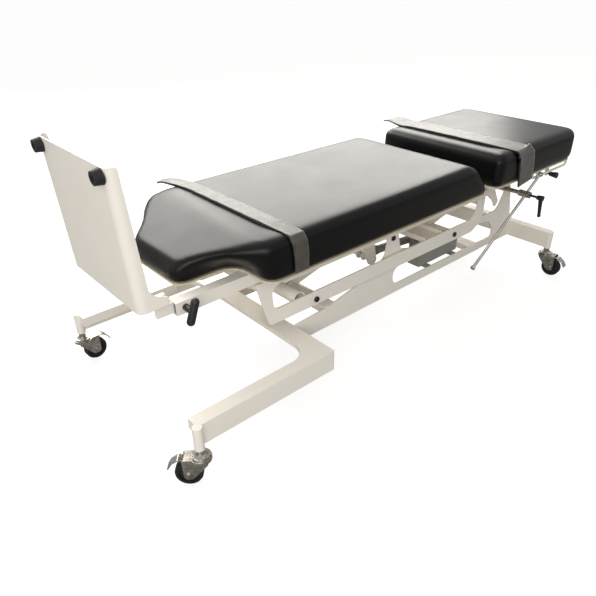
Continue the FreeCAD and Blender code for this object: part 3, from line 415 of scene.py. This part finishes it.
def cushion(name, corners, slant, step, body, node, slope=None, end_edge=34.0, shoulders=(), bridge=None):
    margin, margin_top = 12, 16
    xs, ys = [c[0] for c in corners], [c[1] for c in corners]
    low = np.array([min(xs) - margin, min(ys) - margin, cushion_low - margin])
    high = np.array([max(xs) + margin, max(ys) + margin, cushion_high + margin_top])
    axes = [np.arange(low[i], high[i] + step, step) for i in range(3)]
    x, y, z = np.meshgrid(*axes, indexing="ij")
    field = cushion_field(x, y, z, corners, slant, slope, end_edge, bridge)
    points, quads = surface_net(field, low, step)
    made = piece(name, [at(*p) for p in points], quads, "black_vinyl", body)
    work = bmesh.new()
    work.from_mesh(made.data)
    for _ in range(smoothing_passes):
        bmesh.ops.smooth_vert(work, verts=work.verts, factor=0.5, use_axis_x=True, use_axis_y=True,
                              use_axis_z=True)
    # The cover's slight unevenness: broad, then fine
    for v in work.verts:
        wave = noise.noise(v.co * 5.0) * 0.0006 + noise.noise(v.co * 15.0) * 0.00015
        wave += sum(gathers(v.co, v.normal, corner) for corner in shoulders)
        v.co += v.normal * wave
    work.to_mesh(made.data)
    work.free()
    shade_smooth(made.data)
    finer = made.modifiers.new("Finer", "SUBSURF")
    finer.levels = finer.render_levels = 1
    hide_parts(node)
    return made


# Outlines: x, y and the corner's radius
body_corners = [(-798, -133, 36), (-600, -133, 62), (-600, -half_width, 40), (500, -half_width, 30),
                (500, half_width, 30), (-650, half_width, 40), (-650, 133, 62), (-798, 133, 36)]
body_bridge = [(-798, -128, 40), (-592, -half_width, 60), (500, -half_width, 30),
               (500, half_width, 30), (-636, half_width, 50), (-798, 150, 40)]
head_corners = [(532, -half_width, 36), (1180, -half_width, 60),
                (1180, half_width, 60), (532, half_width, 36)]
# Lines seen from the side: (x, z) to (x, z)
body_slant = ((500.0, 480.0), (396.0, 595.0))
head_slant = ((532.0, 480.0), (540.0, 595.0))
tongue_slope = ((-798.0, 530.0), (-590.0, 597.0))
grid_step = 9.0
body_pad = cushion("body_pad", body_corners, body_slant, grid_step, "tilt_frame", "body_cushion",
                   slope=tongue_slope, bridge=body_bridge,
                   shoulders=((-600, -half_width), (-650, half_width), (-798, -133)))
head_pad = cushion("head_pad", head_corners, head_slant, grid_step, "head_section", "head_cushion",
                   end_edge=50.0)


# Straps

def smooth_line(points, count):
    """Evenly spaced points on a smooth line through the given ones, with extra values carried along."""
    samples = 24
    line = np.array(points, float)
    out = []
    for i in range(len(line) - 1):
        p0 = line[max(i - 1, 0)]
        p1, p2 = line[i], line[i + 1]
        p3 = line[min(i + 2, len(line) - 1)]
        for t in np.linspace(0, 1, samples, endpoint=False):
            out.append(0.5 * (2 * p1 + (p2 - p0) * t + (2 * p0 - 5 * p1 + 4 * p2 - p3) * t ** 2
                              + (3 * p1 - p0 - 3 * p2 + p3) * t ** 3))
    out.append(line[-1])
    out = np.array(out)
    run = np.concatenate([[0], np.cumsum(np.linalg.norm(np.diff(out[:, :3], axis=0), axis=1))])
    even = np.linspace(0, run[-1], count)
    return np.array([np.interp(even, run, out[:, k]) for k in range(line.shape[1])]).T, run[-1]


def band(name, stations, thick, material, body, seed, wave=1.0):
    """A strap along stations (x, y, z, width, lift of its foot-side edge), as a thin closed sheet."""
    columns, rows = 14, 150
    line, length = smooth_line(stations, rows)
    points, uvs = [], []
    for i in range(rows):
        x, y, z, width, lift = line[i]
        before, after = line[max(i - 1, 0)], line[min(i + 1, rows - 1)]
        run = Vector(after[:3] - before[:3]).normalized()
        across = Vector((1, 0, 0)) - run * run.x
        across.normalize()
        up = run.cross(across)
        if up.z < 0 and abs(up.z) > abs(up.y):
            up = -up
        if abs(up.z) <= abs(up.y) and up.y * y < 0:
            up = -up
        s = length * i / (rows - 1)
        edge_wave = [1.6 * wave * noise.noise(Vector((s * 0.021, seed + k * 7.3, 0))) for k in (0, 1)]
        for side in (1, -1):
            for j in range(columns + 1):
                u = j / columns
                place = -width / 2 + width * u
                place += edge_wave[0] * (1 - u) + edge_wave[1] * u
                rise = lift * (1 - u) ** 2
                rise += wave * 0.8 * noise.noise(Vector((s * 0.03, u * 2.1, seed)))
                rise += wave * 0.9 * noise.noise(Vector((s * 0.06, u * 1.2, seed + 3))) * abs(2 * u - 1)
                # A rolled, stitched edge is a little thicker than the web between
                edge = min(u, 1 - u) * width
                full = thick * (0.78 + 0.34 * math.exp(-((edge - 3.0) / 2.6) ** 2))
                height = rise + (full if side > 0 else 0)
                p = Vector((x, y, z)) + across * place + up * height
                points.append(at(*p))
                uvs.append((u * width / 10, s / 10))
    faces = []
    ring = 2 * (columns + 1)
    for i in range(rows - 1):
        a, b = i * ring, (i + 1) * ring
        for j in range(columns):
            faces.append((a + j, a + j + 1, b + j + 1, b + j))
            k = columns + 1 + j
            faces.append((a + k + 1, a + k, b + k, b + k + 1))
        faces.append((a + columns, a + ring - 1, b + ring - 1, b + columns))
        faces.append((b, b + columns + 1, a + columns + 1, a))
    for start in (0, (rows - 1) * ring):
        cap = [start + j for j in range(columns + 1)] + [start + ring - 1 - j for j in range(columns + 1)]
        faces.append(cap if start else cap[::-1])
    made = piece(name, points, faces, material, body)
    layer = made.data.uv_layers.new(name="UVMap")
    for loop in made.data.loops:
        layer.data[loop.index].uv = uvs[loop.vertex_index]
    work = bmesh.new()
    work.from_mesh(made.data)
    bmesh.ops.recalc_face_normals(work, faces=work.faces)
    work.to_mesh(made.data)
    work.free()
    return made, length


def over_cushion(far, top_x, near, width, near_width, far_width, near_low, rise, lift):
    """Stations from the loose tail past the far edge, over the top and down the near side."""
    high = cushion_high + 0.5 + rise
    stations = [(far[0], far[1], high - 1, far_width, 1),
                (far[0] + 0.35 * (top_x - far[0]), (far[1] + half_width) / 2, high + 2, far_width, 3),
                (top_x - 6, half_width - 30, high - 1.5, width, lift)]
    line = [(210, high + 0.5), (90, high + 1.5), (-60, high + 1.5), (-180, high + 0.8)]
    arc = crown_edge + rise + 0.8
    for degrees in (20, 42, 64, 86):
        a = math.radians(degrees)
        line.append((-half_width + crown_edge - arc * math.sin(a),
                     cushion_high - 5 - crown_edge + arc * math.cos(a)))
    line += [(-half_width - 1.0 - rise, 524), (-half_width - 0.6 - rise, near_low)]
    # Past this point of the line the strap drifts to its place at the near side
    turn = 3
    gone = [0.0]
    for (y0, z0), (y1, z1) in zip(line, line[1:]):
        gone.append(gone[-1] + math.hypot(y1 - y0, z1 - z0))
    for (y, z), run in zip(line, gone):
        t = min(max((run - gone[turn]) / (gone[-1] - gone[turn]), 0), 1)
        ease = t * t * (3 - 2 * t)
        stations.append((top_x + ease * (near - top_x), y, z, width + ease * (near_width - width),
                         lift + ease * (1 - lift)))
    return stations


body_route = dict(far=(-556.0, 353.0), top_x=-503.0, near=-483.0, width=58.0, near_width=50.0, far_width=50.0)
head_route = dict(far=(700.0, 386.0), top_x=696.0, near=748.0, width=118.0, near_width=106.0, far_width=104.0)
# The backing layer's near-black colour is partly the strap's black underside and partly painted shadow under
# the band's lifted foot-side edge
under_thick, band_thick = 3.2, 2.2
under_layer = dict(rise=0.4, lift=0.5)
band_layer = dict(rise=4.2, lift=2.5)
body_under, _ = band("body_strap_backing", over_cushion(near_low=482.0, **under_layer, **body_route),
                     under_thick, "webbing_under_and_shade", "tilt_frame", seed=5.0, wave=0.5)
body_top, body_length = band("body_strap_band", over_cushion(near_low=479.0, **band_layer, **body_route),
                             band_thick, "webbing_band", "tilt_frame", seed=11.0)
head_under, _ = band("head_strap_backing_and_shadow", over_cushion(near_low=452.0, **under_layer, **head_route),
                     under_thick, "webbing_under_and_shade", "head_section", seed=21.0, wave=0.5)
head_top, head_length = band("head_strap_band", over_cushion(near_low=448.0, **band_layer, **head_route),
                             band_thick, "webbing_band", "head_section", seed=31.0)
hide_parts("body_strap")
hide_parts("head_strap")


# Floor, light and camera

def floor():
    """A pale floor with a glow that only the camera sees, so that it ends in white."""
    size = 30.0
    mesh = bpy.data.meshes.new("floor")
    mesh.from_pydata([(-size, -size, 0), (size, -size, 0), (size, size, 0), (-size, size, 0)], [],
                     [(0, 1, 2, 3)])
    made = bpy.data.objects.new("floor", mesh)
    bpy.context.scene.collection.objects.link(made)
    surface = bpy.data.materials.new("floor")
    surface.use_nodes = True
    tree = surface.node_tree
    shader = tree.nodes["Principled BSDF"]
    shader.inputs["Base Color"].default_value = (0.28, 0.275, 0.27, 1)
    shader.inputs["Roughness"].default_value = 0.9
    shader.inputs["Specular IOR Level"].default_value = 0.1
    path = tree.nodes.new("ShaderNodeLightPath")
    glow = tree.nodes.new("ShaderNodeEmission")
    glow.inputs["Strength"].default_value = 0.8
    nothing = tree.nodes.new("ShaderNodeEmission")
    nothing.inputs["Strength"].default_value = 0.0
    pick = tree.nodes.new("ShaderNodeMixShader")
    add = tree.nodes.new("ShaderNodeAddShader")
    tree.links.new(path.outputs["Is Camera Ray"], pick.inputs[0])
    tree.links.new(nothing.outputs[0], pick.inputs[1])
    tree.links.new(glow.outputs[0], pick.inputs[2])
    tree.links.new(pick.outputs[0], add.inputs[0])
    tree.links.new(shader.outputs[0], add.inputs[1])
    tree.links.new(add.outputs[0], tree.nodes["Material Output"].inputs["Surface"])
    mesh.materials.append(surface)


def world(ambient):
    """White to the camera and through glass, and a softer light for everything else."""
    made = bpy.data.worlds.new("studio")
    bpy.context.scene.world = made
    made.use_nodes = True
    tree = made.node_tree
    path = tree.nodes.new("ShaderNodeLightPath")
    seen = tree.nodes.new("ShaderNodeMath")
    seen.operation = "MAXIMUM"
    tree.links.new(path.outputs["Is Camera Ray"], seen.inputs[0])
    tree.links.new(path.outputs["Is Transmission Ray"], seen.inputs[1])
    mix = tree.nodes.new("ShaderNodeMix")
    mix.data_type = "RGBA"
    tree.links.new(seen.outputs[0], mix.inputs[0])
    mix.inputs[6].default_value = ambient
    mix.inputs[7].default_value = (1, 1, 1, 1)
    tree.links.new(mix.outputs[2], tree.nodes["Background"].inputs["Color"])


def softbox(name, place, target, width, height, radiance, tint):
    lamp = bpy.data.lights.new(name, "AREA")
    lamp.shape = "RECTANGLE"
    lamp.size, lamp.size_y = width, height
    lamp.energy = radiance * math.pi * width * height
    lamp.color = tint
    made = bpy.data.objects.new(name, lamp)
    made.location = place
    made.rotation_euler = (Vector(target) - Vector(place)).to_track_quat("-Z", "Y").to_euler()
    bpy.context.scene.collection.objects.link(made)


def camera():
    """The camera fitted to the photo."""
    yaw, pitch, roll = (math.radians(v) for v in (40.967, 30.461, -0.825))
    forward = Vector((math.sin(yaw) * math.cos(pitch), math.cos(yaw) * math.cos(pitch), -math.sin(pitch)))
    right = Vector((math.cos(yaw), -math.sin(yaw), 0))
    up = right.cross(forward)
    turned_right = right * math.cos(roll) + up * math.sin(roll)
    turned_up = up * math.cos(roll) - right * math.sin(roll)
    view = Matrix((turned_right, turned_up, -forward)).transposed().to_4x4()
    view.translation = at(-1468.5, -1421.9, 1260.6)
    lens = bpy.data.cameras.new("camera")
    lens.lens = 34.90
    lens.sensor_width = 36.0
    lens.clip_end = 100
    made = bpy.data.objects.new("camera", lens)
    made.matrix_world = view
    bpy.context.scene.collection.objects.link(made)
    bpy.context.scene.camera = made


floor()
world((0.62, 0.62, 0.62, 1))
table_centre = at(0, 0, 500)
softbox("back_window", at(2500, 2650, 2350), table_centre, 3.6, 2.5, 5.2, (1.0, 0.97, 0.915))
softbox("side_window", at(-150, 3000, 2750), table_centre, 2.6, 1.8, 8.0, (1.0, 0.97, 0.915))
softbox("overhead", at(-200, -300, 3200), table_centre, 3.0, 2.0, 0.5, (1.0, 0.98, 0.95))
softbox("front_fill", at(-2600, -2200, 1700), table_centre, 2.4, 2.0, 3.4, (1.0, 0.985, 0.96))
camera()
bpy.context.scene.view_settings.view_transform = "Standard"
